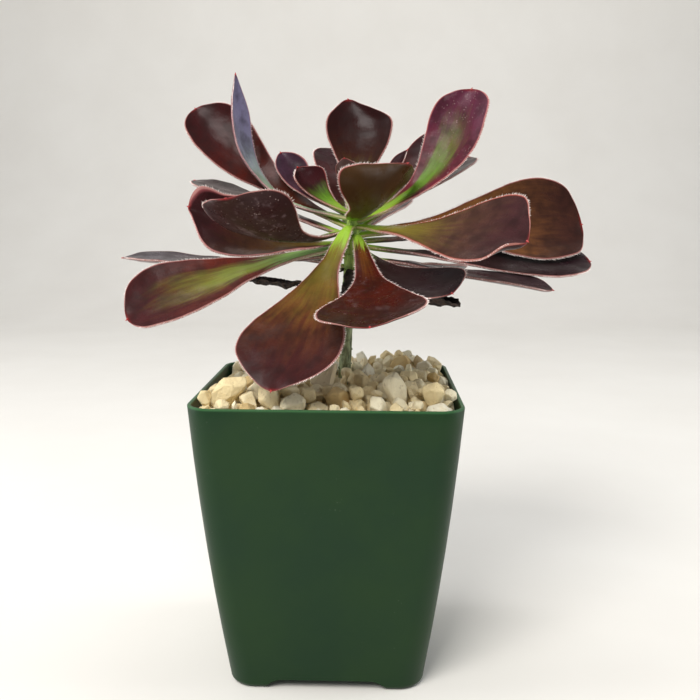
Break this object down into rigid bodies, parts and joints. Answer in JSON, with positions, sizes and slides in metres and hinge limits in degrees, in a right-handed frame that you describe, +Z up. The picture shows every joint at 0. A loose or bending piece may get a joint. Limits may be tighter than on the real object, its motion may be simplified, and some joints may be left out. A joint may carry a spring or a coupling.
{
  "type": "potted aeonium",
  "caption": "Dark-leaved rosette succulent on a bare stem, rooted in gravel-topped mix in a tapered square green nursery pot.",
  "frame": {"origin": "under the middle of the whole plant's box, on the surface that the pot's four feet stand on; the middle of the pot's footprint is at x -10.0 mm, y -4.35 mm", "axes": "+Z up, +X to the right of the pot's front face, -Y towards the front"},
  "size_m": [0.1686, 0.1296, 0.2078],
  "materials": {
    "green_plastic": "satin moulded dark green plastic",
    "potting_mix": "damp dark peat and bark potting mix",
    "cream_gravel": "dry matt cream angular gravel",
    "stem_bark": "smooth grey-green bark with leaf scars",
    "dark_leaf": "waxy fleshy leaf, maroon over green, red margin with fine white hairs",
    "young_leaf": "waxy young leaf, green with a red margin",
    "dried_leaf": "dry shrivelled dark brown leaf"
  },
  "bodies": {
    "root": {"pot": "green_plastic", "potting_mix": "potting_mix", "gravel": "cream_gravel", "stem": "stem_bark", "leaf_back_centre_tall": "dark_leaf", "leaf_back_grey": "dark_leaf", "leaf_back_left_broad": "dark_leaf", "leaf_back_left_level": "dark_leaf", "leaf_back_left_low": "dark_leaf", "leaf_back_left_narrow": "dark_leaf", "leaf_back_low": "dark_leaf", "leaf_back_mid": "dark_leaf", "leaf_back_right_edge": "dark_leaf", "leaf_back_right_level": "dark_leaf", "leaf_back_right_low": "dark_leaf", "leaf_back_slate": "dark_leaf", "leaf_centre_front": "dark_leaf", "leaf_dried_hanging": "dried_leaf", "leaf_dried_left": "dried_leaf", "leaf_dried_right": "dried_leaf", "leaf_front_broad": "dark_leaf", "leaf_front_drooping": "dark_leaf", "leaf_heart_1": "young_leaf", "leaf_heart_2": "young_leaf", "leaf_heart_3": "young_leaf", "leaf_heart_4": "young_leaf", "leaf_heart_5": "young_leaf", "leaf_inner_left_green": "dark_leaf", "leaf_inner_left_small": "dark_leaf", "leaf_inner_right_small": "dark_leaf", "leaf_left_banded": "dark_leaf", "leaf_left_far": "dark_leaf", "leaf_left_folded": "dark_leaf", "leaf_left_level": "dark_leaf", "leaf_left_speckled": "dark_leaf", "leaf_right_broad": "dark_leaf", "leaf_right_front": "dark_leaf", "leaf_right_low_front": "dark_leaf", "leaf_right_thin": "dark_leaf", "leaf_right_under": "dark_leaf", "leaf_right_upright": "dark_leaf"}
  },
  "joints": []
}
